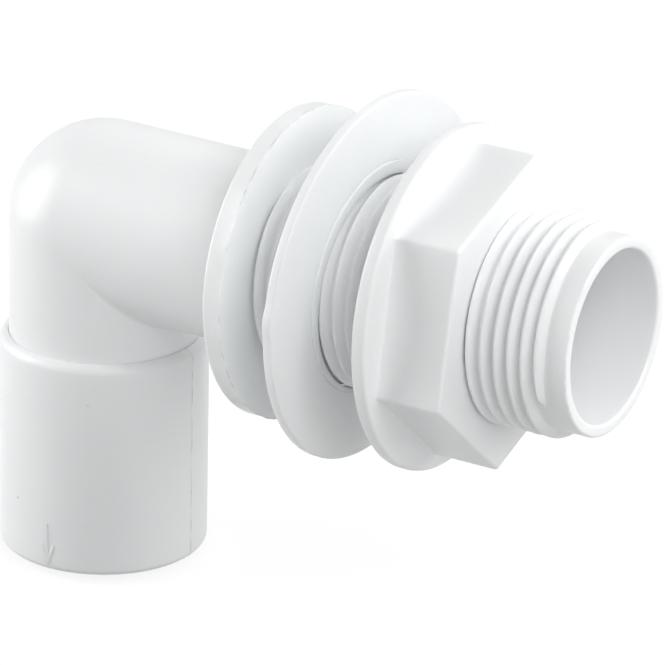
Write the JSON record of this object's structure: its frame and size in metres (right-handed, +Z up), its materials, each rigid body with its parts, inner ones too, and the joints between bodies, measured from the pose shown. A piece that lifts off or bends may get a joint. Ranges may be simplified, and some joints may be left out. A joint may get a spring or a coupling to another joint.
{
  "type": "tank connector",
  "caption": "Bent plastic tank connector: a pipe socket turns through an elbow to a flange and threaded tail, with a loose sealing washer and a flanged hexagon back nut.",
  "frame": {"origin": "centre of the flange's sealing face, on the tail's axis", "axes": "+X along the tail, away from the elbow; +Z up, so the pipe socket opens towards -Z"},
  "size_m": [0.0848, 0.046, 0.0669],
  "materials": {
    "white_abs": "moulded, satin gloss",
    "milky_polyethylene": "moulded, soft waxy sheen"
  },
  "bodies": {
    "elbow": {"elbow_body": "white_abs"},
    "washer": {"sealing_washer": "milky_polyethylene"},
    "nut": {"back_nut": "white_abs"}
  },
  "joints": [
    {"name": "washer_slide", "type": "slide", "parent": "elbow", "child": "washer", "axis": [1, 0, 0], "range_m": [-0.00772, 0.01271]},
    {"name": "nut_turn", "type": "hinge", "parent": "washer", "child": "nut", "pos_m": [0, 0, 0], "axis": [1, 0, 0], "range_deg": [-1530, 2520]}
  ],
  "couplings": [
    {"joint": "washer_slide", "follows": "nut_turn", "m_per_rad": 0.00028871}
  ]
}
